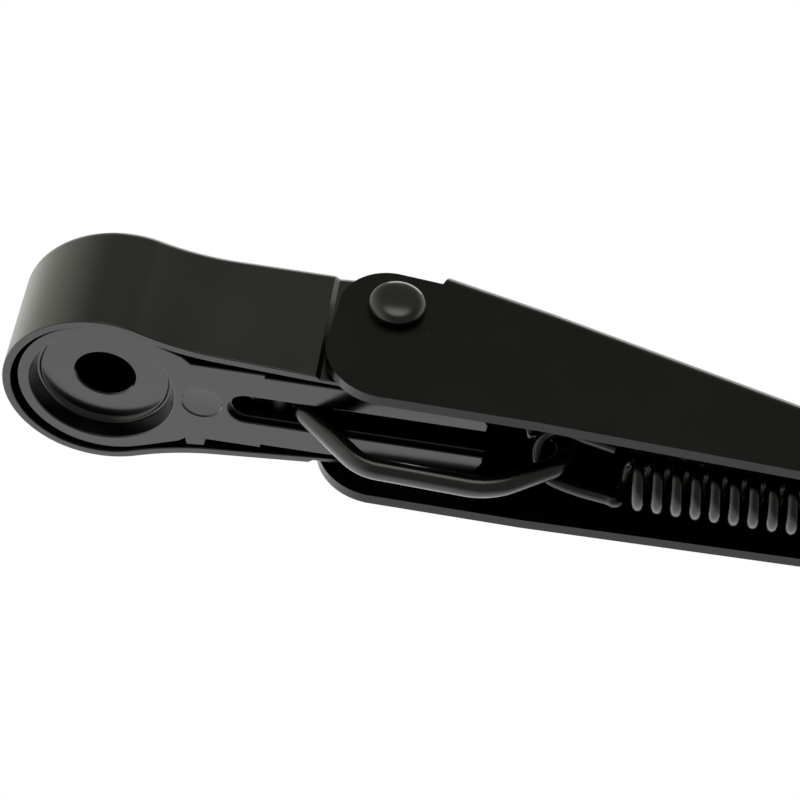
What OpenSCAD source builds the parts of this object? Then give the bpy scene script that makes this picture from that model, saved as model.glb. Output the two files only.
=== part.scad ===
// Wiper arm: a head on the spindle, a lifting channel with a flat bar and hook,
// and the spring and wire link that pull the arm down.
// Millimetres. The origin is on the spindle axis, at the mouth of the spindle bore.
// +X runs along the arm and +Z points away from the windscreen.
// Heights in the sizes and modules are measured from the cover's rim, and at_rim()
// puts each piece in place.

/* [Head cover] */
// Outer radius of the round end
head_r = 16.5; // [15:0.1:18]
// Height of the cover's top over the spindle axis
cover_h = 22; // [21.5:0.1:22.5]
// Rise of the cover's top toward the pivot, degrees
top_rise = 4.6; // [4:0.1:5]
// Rise of the cover's rim toward the pivot, degrees
rim_rise = 0.9; // [0:0.1:1]
// Thickness of the side walls
cover_wall = 1.4; // [1:0.1:1.8]
// Thickness of the top
cover_top_t = 1.8; // [1.2:0.1:2.4]
// Radius of the top edge
cover_edge_r = 2; // [1:0.1:3]
// Distance of each neck side from the spindle axis
neck_reach = 13.75; // [13.3:0.05:14.2]
// Taper of each neck side, degrees
neck_taper = 4.8; // [4:0.1:5.5]
// Radius of the hollow between the round end and the neck
neck_blend_r = 45; // [30:1:60]
// Distance from the pivot axis back to the step in the neck
step_reach = 11.2; // [10.5:0.1:12.5]
// Length of the sloping face of the step
step_run = 0.8; // [0.4:0.1:1.2]
// Gap between the tongue of the cover and each ear
tongue_gap = 1.25; // [0.8:0.05:1.6]
// Wall of the tongue
tongue_wall = 0.95; // [0.7:0.05:1.2]
// Distance from the pivot axis to the end of the tongue
nose_reach = 4.6; // [3.8:0.1:4.8]
// Diameter of the access hole over the nut
access_d = 22; // [20:0.1:24]

/* [Head core] */
// Gap between the round end of the core and the cover
core_gap = 0.9; // [0.6:0.05:1.3]
// Height of the core's lower face above the cover's rim
core_z = 0.7; // [0.3:0.05:1.5]
// Half width of the core beside the slot
core_half_w = 9.1; // [8.8:0.05:9.2]
// Half width of the two prongs
prong_half_w = 8.4; // [7.5:0.05:8.6]
// Where the core narrows to the prongs
prong_x = 27.2; // [26:0.1:32]
// Distance from the pivot axis to the ends of the prongs
prong_reach = 17.7; // [15:0.1:19]
// Bevel on the corners of the prongs
prong_bevel = 1.6; // [0.5:0.1:2.5]
// Where the flank of the core's round end turns in, along the arm
shoulder_x = 13.2; // [12.8:0.1:13.6]
// How far the flank stands out there from the sides beside the slot
shoulder_out = 1.45; // [1:0.05:1.6]
// Length of the slope from the flank to those sides
shoulder_run = 1.6; // [0.8:0.1:2.4]
// Clearance between the top of the prongs and the channel's web
stop_gap = 0.35; // [0.25:0.05:0.8]
// Radius of the recess round the spindle, at the lower face
recess_r = 12.15; // [11.5:0.05:12.5]
// Depth of the recess
recess_depth = 3.3; // [2:0.1:5]
// Diameter of the spindle bore
bore_d = 10; // [8:0.1:12]
// Length of the spindle bore
bore_len = 7; // [6:0.1:9]
// Diameter of the well for the nut
well_d = 21; // [18:0.1:21.6]
// Half width of the slot for the link
slot_half_w = 3.2; // [2.8:0.05:3.6]
// Closed end of the slot
slot_x = 21.2; // [20.5:0.1:22.5]
// Width of the ledge inside the slot
slot_ledge = 0.6; // [0.3:0.05:0.8]
// Depth of the ledge
ledge_depth = 1; // [0.5:0.1:2]
// Radius of the round mark beside the recess
mark_r = 3.35; // [2.5:0.05:3.5]
// Depth of the round mark
mark_depth = 0.25; // [0.1:0.05:0.5]

/* [Nut cover] */
// Radial clearance of the plug in the access hole
plug_fit = 0.05; // [0.02:0.01:0.2]
// Radius of the plug's rim over the cover's top
plug_rim = 0.9; // [0.5:0.1:1.5]
// Rise of the plug's crown over its rim
plug_crown = 1.1; // [0.6:0.1:2]
// Thickness of the plug's rim at its edge
plug_rim_t = 0.6; // [0.4:0.1:1]
// Wall of the plug
plug_wall = 1.2; // [0.8:0.1:1.6]
// Depth of the plug's skirt in the well
plug_depth = 3; // [2.4:0.1:3.4]

/* [Pivot] */
// Pivot axis along the arm
pivot_x = 46.5; // [46:0.1:48]
// Pivot axis above the cover's rim
pivot_z = 16; // [15.8:0.1:16.4]
// Diameter of the rivet's shank
rivet_d = 5.9; // [5:0.1:6]
// Radius of the rivet's heads
rivet_head_r = 4.8; // [4:0.1:6]
// Height of the rim of each head
rivet_rim_h = 0.7; // [0.4:0.1:1]
// Rise of the dome on each head
rivet_dome_h = 1.9; // [1:0.1:2.4]
// Wall of the pivot bush
bush_wall = 0.9; // [0.6:0.05:0.9]
// Radial running clearance of the rivet in the bush
running_fit = 0.05; // [0.02:0.01:0.1]
// End clearance between the bush and each ear
bush_end_gap = 0.15; // [0.1:0.05:0.3]

/* [Channel] */
// Thickness of the sheet
sheet_t = 2; // [1.6:0.1:2]
// Half width of the channel over its ears
ear_half_w = 13.4; // [12.8:0.1:14]
// Outer bend radius of the sheet
bend_r = 3.2; // [2.6:0.1:4]
// Where the width starts to taper
taper_x = 72; // [66:0.5:80]
// Where the web starts, ahead of the cover's tongue
web_x = 54.3; // [54.2:0.1:55.5]
// Height of the web at its start
web_z = 26.4; // [26.2:0.05:26.6]
// Slope of the web behind the pivot, degrees
web_slope = 14.6; // [14.2:0.1:14.8]
// Height of the level stretch of the web
level_z = 8.2; // [8:0.1:9]
// Length of the curve from the slope to the level stretch
knee_len = 14; // [6:0.5:20]
// Lower edge of the side walls below the cover's rim, at the ears
edge_drop = 4; // [3.5:0.1:4.5]
// Lower edge at its lowest
edge_low = 5.3; // [5:0.1:6]
// Where the tail of the channel starts
tail_x = 150; // [146:1:160]
// Half width of the channel where the tail starts
tail_half_w = 10.6; // [9.5:0.1:11]
// Length of the tail
tail_len = 65; // [55:1:80]
// Fall of the web along the tail
tail_fall = 3.8; // [3:0.1:5]
// Half width of the channel at its tip
tip_half_w = 8; // [7.6:0.1:9]
// Height of the side walls at the tip
tip_h = 6.2; // [5.6:0.1:7.5]

/* [Bar and hook] */
// Width of the flat bar
bar_w = 9; // [8:0.5:10]
// Thickness of the flat bar
bar_t = 3; // [2.5:0.1:3.5]
// Length of the bar up to its hook
bar_len = 330; // [250:5:400]
// Inner radius of the hook
hook_r = 4; // [3:0.1:5]
// Length of the hook's straight tip
hook_tip = 11; // [6:0.5:16]
// Diameter of the bar rivets
bar_rivet_d = 5; // [4:0.1:6]
// Radius of the heads of the bar rivets
bar_rivet_head_r = 4; // [3.5:0.1:4.4]
// Dome of the bar rivets
bar_rivet_dome = 1.6; // [1:0.1:2]
// First bar rivet from the start of the tail
bar_rivet_x = 16; // [12:1:22]
// Second bar rivet from the channel's tip
bar_rivet_end = 17; // [12:1:22]

/* [Link] */
// Wire diameter of the link
link_d = 3.7; // [3:0.1:4]
// Anchor pin along the arm
anchor_x = 29.4; // [28.8:0.1:29.8]
// Anchor pin above the cover's rim
anchor_z = 5.5; // [5:0.1:6]
// Diameter of the anchor pin
anchor_d = 3.8; // [3:0.1:4]
// Clearance of the wires on the pins that they hold
hook_fit = 0.1; // [0.05:0.01:0.2]
// Inner radius of the link's hook round the bar of the spring's front loop
link_hook_in = 2.65; // [2.6:0.05:2.9]
// Height of the link's low run under the pivot
link_low_z = -8; // [-9:0.1:-7]
// Fall of the low run, degrees
link_low_fall = 2.5; // [0:0.5:4]
// Fall of the link behind the anchor pin, degrees
link_fall = 42; // [38:0.5:46]
// Rise of the link to the spring, degrees
link_rise = 34.3; // [30:0.1:38]

/* [Spring] */
// Wire diameter of the spring
spring_wire_d = 2.2; // [1.8:0.1:2.4]
// Mean diameter of the coil
coil_d = 8; // [7:0.1:8.4]
// Distance between turns
coil_pitch = 3.17; // [2.8:0.01:3.4]
// Number of turns
coil_turns = 11.4; // [9.4:1:11.4]
// Bar of the spring's front loop, along the arm
loop_x = 73; // [72.5:0.1:73.5]
// Bar of the spring's front loop, above the cover's rim
loop_z = 1.6; // [1.2:0.1:2]
// Half width of the front loop
loop_half_w = 4.4; // [4.2:0.1:4.8]
// Tilt of the front loop about the arm's length, degrees
loop_tilt = 38; // [20:1:38]
// Length of the front loop
loop_len = 14.4; // [13:0.1:15]
// Drop of the coil's axis below the cover's rim
coil_drop = 1.9; // [1.6:0.1:2.2]
// Spring pin along the arm
spring_pin_x = 133; // [132:0.5:138]
// Spring pin below the cover's rim
spring_pin_drop = 2.2; // [1.9:0.1:2.4]
// Diameter of the spring pin
spring_pin_d = 4; // [3:0.1:4.2]
// Height of the spring pin's peened ends
peen_h = 0.6; // [0.3:0.1:1]

/* [Hidden] */
$fn = 96;

// Overrun of a cut past the face that it opens
over = 1;
// Overlap of the core's round end with the flanks that meet it
merge = 0.005;
paint = [0.07, 0.07, 0.07];
cast_paint = [0.12, 0.12, 0.12];
steel = [0.6, 0.6, 0.62];
plastic = [0.05, 0.05, 0.05];

// Steps on the round stretches of the cover
round_steps = 20;
blend_steps = 8;
edge_steps = 4;
// Sides of the wires' sections, and steps in each turn of the coil
wire_sides = 12;
coil_sides = 8;
coil_steps = 12;

function unit(v) = v / norm(v);
function polar(r, a) = [r * cos(a), r * sin(a)];
function mix(a, b, t) = a + (b - a) * t;

// Solid through a list of rings with the same number of points.
// Rings run counterclockwise when the last ring is looked at from outside.
module skin(rings) {
    n = len(rings[0]);
    last = (len(rings) - 1) * n;
    polyhedron(
        points = [for (ring = rings) each ring],
        faces = concat(
            [[for (k = [0:n - 1]) k]],
            [[for (k = [n - 1:-1:0]) last + k]],
            [for (r = [0:len(rings) - 2], k = [0:n - 1])
                [r * n + k, (r + 1) * n + k, (r + 1) * n + (k + 1) % n]],
            [for (r = [0:len(rings) - 2], k = [0:n - 1])
                [r * n + k, (r + 1) * n + (k + 1) % n, r * n + (k + 1) % n]]
        )
    );
}

// Points of the round bend with radius r at b, between the directions to a and c
function bend(a, b, c, r, steps) =
    let (
        u = unit(a - b),
        v = unit(c - b),
        half = acos(u * v) / 2,
        centre = b + unit(u + v) * r / sin(half),
        arm = b + u * r / tan(half) - centre,
        turn = sign(cross(b - a, c - b)) * (180 - 2 * half)
    )
    [for (k = [0:steps])
        let (t = turn * k / steps)
        centre + [arm.x * cos(t) - arm.y * sin(t), arm.x * sin(t) + arm.y * cos(t)]];

// Points of an arc round centre
function arc(centre, r, from, to, steps) =
    [for (k = [0:steps]) centre + polar(r, mix(from, to, k / steps))];

// Rings of a round wire along a path in space, with the section turned as little as possible
function heading(path, k) = unit(path[min(k + 1, len(path) - 1)] - path[max(k - 1, 0)]);
function across(v, dir) = unit(v - dir * (v * dir));
function wire_rings(path, r, sides, side) =
    [for (k = 0, n = across(side, heading(path, 0)); k < len(path);
        k = k + 1, n = across(n, heading(path, min(k, len(path) - 1))))
        let (b = cross(heading(path, k), n))
        [for (s = [0:sides - 1])
            path[k] + r * (cos(s * 360 / sides) * n + sin(s * 360 / sides) * b)]];

// Centre of the hollow blend between a round end of radius r and a side line, and its ends.
// reach is the side's distance from the axis and taper its angle.
function blend_centre(r, reach, blend_r, taper) =
    let (
        normal = [sin(taper), cos(taper)],
        along = [cos(taper), -sin(taper)]
    )
    (reach + blend_r) * normal + sqrt(pow(r + blend_r, 2) - pow(reach + blend_r, 2)) * along;
function blend_end(r, reach, blend_r, taper) =
    blend_centre(r, reach, blend_r, taper) - blend_r * [sin(taper), cos(taper)];

tongue_half_w = ear_half_w - sheet_t - tongue_gap;
step_x = pivot_x - step_reach;
nose_x = pivot_x + nose_reach;
function top_z(x) = cover_h + x * tan(top_rise);
function ceiling(x) = top_z(x) - cover_top_t;
function rim_z(x) = x * tan(rim_rise);
// Height above everything in the head
head_reach = 2 * cover_h;
side_normal = [sin(neck_taper), cos(neck_taper)];

// One side of the cover's plan, moved inward by inset: the round end, the hollow flank,
// the straight neck, the step and the tongue
function cover_half_plan(inset, step_from, tongue_w, nose_end) =
    let (
        c = blend_centre(head_r, neck_reach, neck_blend_r, neck_taper),
        contact = atan2(c.y, c.x),
        side = blend_end(head_r, neck_reach, neck_blend_r, neck_taper) - inset * side_normal
    )
    concat(
        arc([0, 0], head_r - inset, 180 - 90 / round_steps, contact, round_steps),
        arc(c, neck_blend_r + inset, 180 + contact, 270 - neck_taper, blend_steps),
        [
            [step_from, side.y - (step_from - side.x) * tan(neck_taper)],
            [step_from + step_run, tongue_w],
            [nose_end, tongue_w]
        ]
    );
function both_halves(half) =
    concat(half, [for (k = [len(half) - 1:-1:0]) [half[k].x, -half[k].y]]);
function cover_plan(inset) =
    both_halves(cover_half_plan(inset, step_x, tongue_half_w - inset, nose_x));

// Plan of the hollow inside the cover: the sides run straight to the tongue, with no step
function hollow_plan() =
    let (
        side = blend_end(head_r, neck_reach, neck_blend_r, neck_taper) - cover_wall * side_normal,
        meet_x = side.x + (side.y - tongue_half_w + tongue_wall) / tan(neck_taper)
    )
    both_halves(cover_half_plan(cover_wall, meet_x - step_run, tongue_half_w - tongue_wall,
        nose_x + over));

// Places a piece whose heights are measured from the cover's rim
module at_rim() {
    translate([0, 0, -recess_floor]) children();
}

// Both sides of a shape that is the same on each side of the arm
module both_sides() {
    children();
    mirror([0, 1, 0]) children();
}

// Places what seats on the sloping top over the spindle axis
module on_top() {
    translate([0, 0, cover_h])
        rotate([0, -top_rise, 0])
            children();
}

// A clockwise plan as counterclockwise rings on the sloping rim, and at a drop below the top
function rim_ring(plan) =
    [for (k = [len(plan) - 1:-1:0]) [plan[k].x, plan[k].y, rim_z(plan[k].x)]];
function top_ring(plan, drop) =
    [for (k = [len(plan) - 1:-1:0]) [plan[k].x, plan[k].y, top_z(plan[k].x) - drop]];

module head_cover() {
    back = -head_r - over;
    front = nose_x + 2 * over;
    color(paint) at_rim()
    difference() {
        skin(concat(
            [rim_ring(cover_plan(0))],
            [for (k = [0:edge_steps])
                let (a = 90 * k / edge_steps)
                top_ring(cover_plan(cover_edge_r * (1 - cos(a))), cover_edge_r * (1 - sin(a)))]
        ));
        intersection() {
            translate([0, 0, -over])
                linear_extrude(head_reach)
                    polygon(hollow_plan());
            rotate([90, 0, 0])
                linear_extrude(2 * (head_r + over), center = true)
                    polygon([[back, -2 * over], [front, -2 * over], [front, ceiling(front)],
                        [back, ceiling(back)]]);
        }
        on_top()
            translate([0, 0, -cover_top_t - over])
                cylinder(d = access_d, h = cover_top_t + 2 * over);
        pivot_bore(bush_r);
    }
}

// Bores along the pivot axis and other axes across the arm
module cross_bore(x, z, r, half) {
    translate([x, 0, z])
        rotate([90, 0, 0])
            cylinder(r = r, h = 2 * half, center = true);
}
module pivot_bore(r) {
    cross_bore(pivot_x, pivot_z, r, ear_half_w + over);
}

core_r = head_r - cover_wall - core_gap;
recess_floor = core_z + recess_depth;
well_z = recess_floor + bore_len;
prong_end = pivot_x + prong_reach;
// Corner of the flank, which leaves the core's round end as a tangent
shoulder = [shoulder_x, core_half_w + shoulder_out];
flank_angle = atan2(shoulder.y, shoulder.x) + acos(core_r / norm(shoulder));

// Height of the web's outer face along the arm
knee_x = web_x + (web_z - level_z) / tan(web_slope);
function web_top(x) =
    x < knee_x - knee_len / 2 ? web_z - (x - web_x) * tan(web_slope)
    : x < knee_x + knee_len / 2
        ? level_z + pow(knee_x + knee_len / 2 - x, 2) * tan(web_slope) / (2 * knee_len)
    : x < tail_x ? level_z
    : level_z - tail_fall * (x - tail_x) / tail_len;
function under_web(x) = web_top(x) - sheet_t;

module core_block() {
    translate([0, 0, core_z]) {
        cylinder(r = core_r + merge, h = head_reach);
        linear_extrude(head_reach)
            polygon(both_halves([
                polar(core_r, flank_angle),
                shoulder,
                [shoulder_x + shoulder_run, core_half_w],
                [prong_x, core_half_w]
            ]));
        linear_extrude(head_reach)
            polygon([
                [0, prong_half_w],
                [prong_end - prong_bevel, prong_half_w],
                [prong_end, prong_half_w - 2 * prong_bevel],
                [prong_end, 2 * prong_bevel - prong_half_w],
                [prong_end - prong_bevel, -prong_half_w],
                [0, -prong_half_w]
            ]);
    }
}

module slot_plan(half) {
    translate([slot_x + slot_half_w, 0]) {
        circle(r = half);
        translate([0, -half])
            square([prong_end, 2 * half]);
    }
}

module head_core() {
    // The top follows the cover's ceiling, then slopes down under the channel's web
    back = -head_r;
    front = prong_end + over;
    web_fall = tan(web_slope);
    stop_x = (web_z - sheet_t - stop_gap + web_x * web_fall - ceiling(0))
        / (web_fall + tan(top_rise));
    color(cast_paint) at_rim()
    difference() {
        core_block();
        translate([0, 0, core_z - over])
            linear_extrude(head_reach)
                slot_plan(slot_half_w - slot_ledge);
        translate([0, 0, core_z - over])
            linear_extrude(ledge_depth + over)
                slot_plan(slot_half_w);
        rotate_extrude()
            polygon([
                [0, core_z - over],
                [recess_r, core_z - over],
                [recess_r, core_z],
                [recess_r - 0.75, recess_floor - 0.4],
                [recess_r - 1.25, recess_floor],
                [0, recess_floor]
            ]);
        cylinder(d = bore_d, h = well_z + over);
        translate([0, 0, well_z])
            cylinder(d = well_d, h = head_reach);
        translate([slot_x - mark_r - over, 0, core_z - over])
            cylinder(r = mark_r, h = mark_depth + over);
        rotate([90, 0, 0])
            linear_extrude(2 * head_r, center = true)
                polygon([
                    [back, ceiling(back)],
                    [stop_x, ceiling(stop_x)],
                    [front, ceiling(stop_x) - (front - stop_x) * web_fall],
                    [front, 2 * head_reach],
                    [back, 2 * head_reach]
                ]);
        pivot_bore(bush_r);
        cross_bore(anchor_x, anchor_z, anchor_d / 2, ear_half_w);
    }
}

module nut_cover() {
    plug_r = access_d / 2 - plug_fit;
    skirt_r = min(plug_r, well_d / 2 - plug_depth * tan(top_rise)) - 2 * plug_fit;
    rim_r = plug_r + plug_rim;
    crown_r = (pow(rim_r, 2) + pow(plug_crown, 2)) / (2 * plug_crown);
    crown_c = [0, plug_rim_t + plug_crown - crown_r];
    crown_a = acos(rim_r / crown_r);
    color(plastic) at_rim() on_top()
        rotate_extrude()
            polygon(concat(
                [
                    [0, -plug_wall],
                    [skirt_r - plug_wall, -plug_wall],
                    [skirt_r - plug_wall, -plug_depth],
                    [skirt_r, -plug_depth],
                    [skirt_r, plug_fit - cover_top_t],
                    [plug_r, plug_fit - cover_top_t],
                    [plug_r, 0],
                    [rim_r, 0]
                ],
                arc(crown_c, crown_r, crown_a, 90, 8)
            ));
}

module link_pin() {
    color(steel) at_rim()
        cross_bore(anchor_x, anchor_z, anchor_d / 2, prong_half_w - 0.2);
}

bush_bore_r = rivet_d / 2 + running_fit;
bush_r = bush_bore_r + bush_wall;

module pivot_bush() {
    color(steel) at_rim()
    difference() {
        cross_bore(pivot_x, pivot_z, bush_r, ear_half_w - sheet_t - bush_end_gap);
        pivot_bore(bush_bore_r);
    }
}

// Domed head seated on a face at z = 0, with its rim and crown
module domed_head(r, rim_h, dome_h) {
    ball_r = (pow(r, 2) + pow(dome_h, 2)) / (2 * dome_h);
    cylinder(r = r, h = rim_h);
    intersection() {
        translate([0, 0, rim_h + dome_h - ball_r])
            sphere(r = ball_r);
        translate([0, 0, rim_h])
            cylinder(r = r, h = dome_h + over);
    }
}

module pivot_rivet() {
    color(paint) at_rim()
    translate([pivot_x, 0, pivot_z]) {
        rotate([90, 0, 0])
            cylinder(d = rivet_d, h = 2 * ear_half_w, center = true);
        for (side = [-1, 1])
            translate([0, side * ear_half_w, 0])
                rotate([-side * 90, 0, 0])
                    domed_head(rivet_head_r, rivet_rim_h, rivet_dome_h);
    }
}

// Section of the channel at x: outer half width, and its height
tip_x = tail_x + tail_len;
function half_w(x) =
    x < taper_x ? ear_half_w
    : x < tail_x ? mix(ear_half_w, tail_half_w, (x - taper_x) / (tail_x - taper_x))
    : mix(tail_half_w, tip_half_w, (x - tail_x) / tail_len);

// Section ring at x: two upright sides and a web with round bends
function channel_ring(x, inset, bottom) =
    let (
        w = half_w(x) - inset,
        r = bend_r - inset,
        top = web_top(x) - inset,
        half = concat([[w, bottom]], arc([w - r, top - r], r, 0, 90, 6))
    )
    concat(
        [for (p = half) [x, p.x, p.y]],
        [for (k = [len(half) - 1:-1:0]) [x, -half[k].x, half[k].y]]
    );

channel_from = pivot_x - 14;
stations = concat(
    [channel_from, taper_x, 84, 98],
    [for (k = [0:4]) knee_x - knee_len / 2 + knee_len * k / 4],
    [tail_x, tip_x]
);

// Ear outline seen from the side, from the notch round the front to the lower edge
ear_top_r = 8.5;
notch_run = 0.9;
notch_z = pivot_z + 7;
module channel_side() {
    lower_x = pivot_x + 4;
    polygon(concat(
        [[web_x, web_z + over], [web_x, web_z - over], [web_x - notch_run, notch_z]],
        arc([pivot_x - 1.1, pivot_z - 0.7], ear_top_r, 88, 182, 12),
        [[pivot_x - 10.4, pivot_z - 4.1]],
        bend([pivot_x - 10.8, pivot_z - 7], [pivot_x - 10.9, pivot_z - 10.4],
            [pivot_x - 7.4, pivot_z - 16.6], 4, 5),
        bend([pivot_x - 9, pivot_z - 13.9], [pivot_x - 6.6, pivot_z - 18],
            [pivot_x, -edge_drop + 0.6], 3, 4),
        [[lower_x, -edge_drop], [tail_x - 30, -edge_low], [tail_x, -edge_low],
            [tip_x, web_top(tip_x) - tip_h], [tip_x, web_z + over]]
    ));
}

module channel() {
    color(paint) at_rim()
    difference() {
        intersection() {
            skin([for (x = stations) channel_ring(x, 0, -edge_low - over)]);
            rotate([90, 0, 0])
                linear_extrude(2 * (ear_half_w + over), center = true)
                    channel_side();
        }
        skin([for (k = [0:len(stations) - 1])
            let (x = stations[k] + (k == 0 ? -over : k == len(stations) - 1 ? over : 0))
            channel_ring(x, sheet_t, -edge_low - 2 * over)]);
        // Opening ahead of the web, where the cover's tongue lies
        translate([channel_from - over, sheet_t - ear_half_w, -edge_low - over])
            cube([web_x - channel_from + over, 2 * (ear_half_w - sheet_t), web_z + 40]);
        pivot_bore(rivet_d / 2);
        cross_bore(spring_pin_x, -spring_pin_drop, spring_pin_d / 2, ear_half_w);
        on_tail()
            for (x = [bar_rivet_x, tail_len - bar_rivet_end])
                translate([x, 0, -over])
                    cylinder(d = bar_rivet_d, h = sheet_t + 2 * over);
    }
}

// Frame of the tail: x along the web, z out of it, origin under the web where the tail starts
tail_angle = atan(tail_fall / tail_len);
module on_tail() {
    translate([tail_x, 0, level_z - sheet_t])
        rotate([0, tail_angle, 0])
            children();
}

module spring_pin() {
    r = spring_pin_d / 2;
    // The ends are peened over the widest part of the tapering walls under them
    w = half_w(spring_pin_x - r - peen_h);
    color(steel) at_rim()
    translate([spring_pin_x, 0, -spring_pin_drop])
        rotate([90, 0, 0])
            rotate_extrude()
                polygon([[0, -w - peen_h], [r, -w - peen_h], [r + peen_h, -w], [r, -w],
                    [r, w], [r + peen_h, w], [r, w + peen_h], [0, w + peen_h]]);
}

module bar_side() {
    translate([0, -bar_t])
        square([bar_len, bar_t]);
    translate([bar_len, -bar_t - hook_r])
        difference() {
            circle(r = hook_r + bar_t);
            circle(r = hook_r);
            translate([-2 * (hook_r + bar_t), -hook_r - bar_t - over])
                square([2 * (hook_r + bar_t), 2 * (hook_r + bar_t + over)]);
        }
    translate([bar_len - hook_tip, -2 * (bar_t + hook_r)])
        difference() {
            square([hook_tip, bar_t]);
            polygon([[-over, -over], [2, -over], [2, 0], [0, bar_t * 0.6], [-over, bar_t * 0.6]]);
        }
}

module arm_bar() {
    color(paint) at_rim()
    on_tail()
        difference() {
            rotate([90, 0, 0])
                linear_extrude(bar_w, center = true)
                    bar_side();
            for (x = [bar_rivet_x, tail_len - bar_rivet_end])
                translate([x, 0, -bar_t - over])
                    cylinder(d = bar_rivet_d, h = bar_t + 2 * over);
        }
}

module bar_rivet(x) {
    color(paint) at_rim()
    on_tail()
        translate([x, 0, 0]) {
            translate([0, 0, -bar_t])
                cylinder(d = bar_rivet_d, h = bar_t + sheet_t);
            translate([0, 0, sheet_t])
                domed_head(bar_rivet_head_r, 0.4, bar_rivet_dome);
            translate([0, 0, -bar_t])
                mirror([0, 0, 1])
                    cylinder(r1 = bar_rivet_head_r - 0.2, r2 = bar_rivet_head_r - 0.8, h = 0.7);
        }
}

module bar_rivet_front() {
    bar_rivet(bar_rivet_x);
}

module bar_rivet_rear() {
    bar_rivet(tail_len - bar_rivet_end);
}

// Centre line of the link in the plane of symmetry: a hook over the anchor pin,
// a fall, a low run, a rise, and a hook round the bar of the spring's front loop
anchor = [anchor_x, anchor_z];
loop_bar = [loop_x, loop_z];
anchor_hook_r = (anchor_d + link_d) / 2 + hook_fit;
loop_hook_r = link_hook_in + link_d / 2;
function meet(p, a, q, b) =
    let (t = cross(q - p, polar(1, b)) / cross(polar(1, a), polar(1, b)))
    p + t * polar(1, a);
function link_path() =
    let (
        start = anchor + [anchor_hook_r, 0],
        first = start - [0, 2.9],
        low = [pivot_x + 5, link_low_z],
        rise = loop_bar + polar(loop_hook_r, link_rise - 90),
        second = meet(first, -link_fall, low, -link_low_fall),
        third = meet(low, -link_low_fall, rise, link_rise)
    )
    concat(
        arc(anchor, anchor_hook_r, 195, 0, 14),
        bend(start, first, second, 4, 4),
        bend(first, second, third, 8, 5),
        bend(second, third, rise, 12, 5),
        arc(loop_bar, loop_hook_r, link_rise - 90, 120, 14)
    );

module hook_link() {
    color(paint) at_rim()
        skin(wire_rings([for (p = link_path()) [p.x, 0, p.y]], link_d / 2, wire_sides, [0, 1, 0]));
}

// Centre line of the spring: front loop, coil and far loop
function coil_axis_z(x) =
    mix(-coil_drop, -spring_pin_drop, (x - loop_x - loop_len) / (spring_pin_x - loop_x - loop_len));
function coil_point(turn) =
    let (
        x = loop_x + loop_len + turn * coil_pitch,
        a = 360 * turn - loop_tilt
    )
    [x, coil_d / 2 * cos(a), coil_axis_z(x) + coil_d / 2 * sin(a)];
function loop_point(along, side) =
    let (z = mix(loop_z, -coil_drop, along / loop_len))
    [loop_x + along, side * cos(loop_tilt), z - side * sin(loop_tilt)];
function spring_path() =
    let (
        nose = [for (k = [1:11])
            let (a = 90 + 180 * k / 12)
            loop_point(loop_half_w * (1 + cos(a)), -loop_half_w * sin(a))],
        coil = [for (k = [1:round(coil_turns * coil_steps)]) coil_point(k / coil_steps)],
        last = coil[len(coil) - 1],
        pin = [spring_pin_x, 0, -spring_pin_drop],
        far_r = (spring_pin_d + spring_wire_d) / 2 + hook_fit
    )
    concat(
        [loop_point(loop_len - 2, -loop_half_w), loop_point(loop_len * 0.55, -loop_half_w)],
        nose,
        [loop_point(loop_len * 0.5, loop_half_w), loop_point(loop_len * 0.85, coil_d / 2 + 0.1)],
        [coil_point(0) - [0.7, 0, 0]],
        coil,
        [last + [1.3, -1.1, -0.1], last + [3.2, -1.2, -0.2], last + [6.5, -0.4, -0.5]],
        [for (k = [0:14])
            let (a = mix(80, -150, k / 14))
            pin + [far_r * cos(a), 0, far_r * sin(a)]]
    );

module tension_spring() {
    color(steel) at_rim()
        skin(wire_rings(spring_path(), spring_wire_d / 2, coil_sides, [0, 0, 1]));
}

head_cover();
head_core();
nut_cover();
link_pin();
pivot_bush();
pivot_rivet();
channel();
spring_pin();
arm_bar();
bar_rivet_front();
bar_rivet_rear();
hook_link();
tension_spring();
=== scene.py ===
"""Wiper arm in black enamel, seen from below as the photograph shows it.

Every length of the arm is in millimetres and is turned into metres where a mesh is made.
Heights are measured from the rim of the head's cover, as in the part's source.
PIVOT, ANCHOR, LINK_LOW, LOOP and SPRING_PIN are (along the arm, height).
SHOULDER and FLASH are (along the arm, across it).
"""
import math
from contextlib import contextmanager

import bmesh
import bpy
from mathutils import Matrix, Vector


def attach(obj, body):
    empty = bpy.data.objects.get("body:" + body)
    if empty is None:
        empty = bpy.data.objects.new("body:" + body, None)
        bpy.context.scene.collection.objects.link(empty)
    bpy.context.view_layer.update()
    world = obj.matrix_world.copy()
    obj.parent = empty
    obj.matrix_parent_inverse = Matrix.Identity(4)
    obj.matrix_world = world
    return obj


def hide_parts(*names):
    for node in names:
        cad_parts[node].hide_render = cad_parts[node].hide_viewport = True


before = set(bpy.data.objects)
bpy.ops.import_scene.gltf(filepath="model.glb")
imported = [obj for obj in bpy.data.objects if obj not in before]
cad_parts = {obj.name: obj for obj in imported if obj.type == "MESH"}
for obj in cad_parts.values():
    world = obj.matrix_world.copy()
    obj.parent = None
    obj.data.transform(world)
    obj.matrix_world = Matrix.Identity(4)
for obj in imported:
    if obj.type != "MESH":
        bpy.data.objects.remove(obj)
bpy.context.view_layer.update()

MM = 0.001
# Height of the cover's rim in the part's frame
RIM_Z = -4.0

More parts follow.
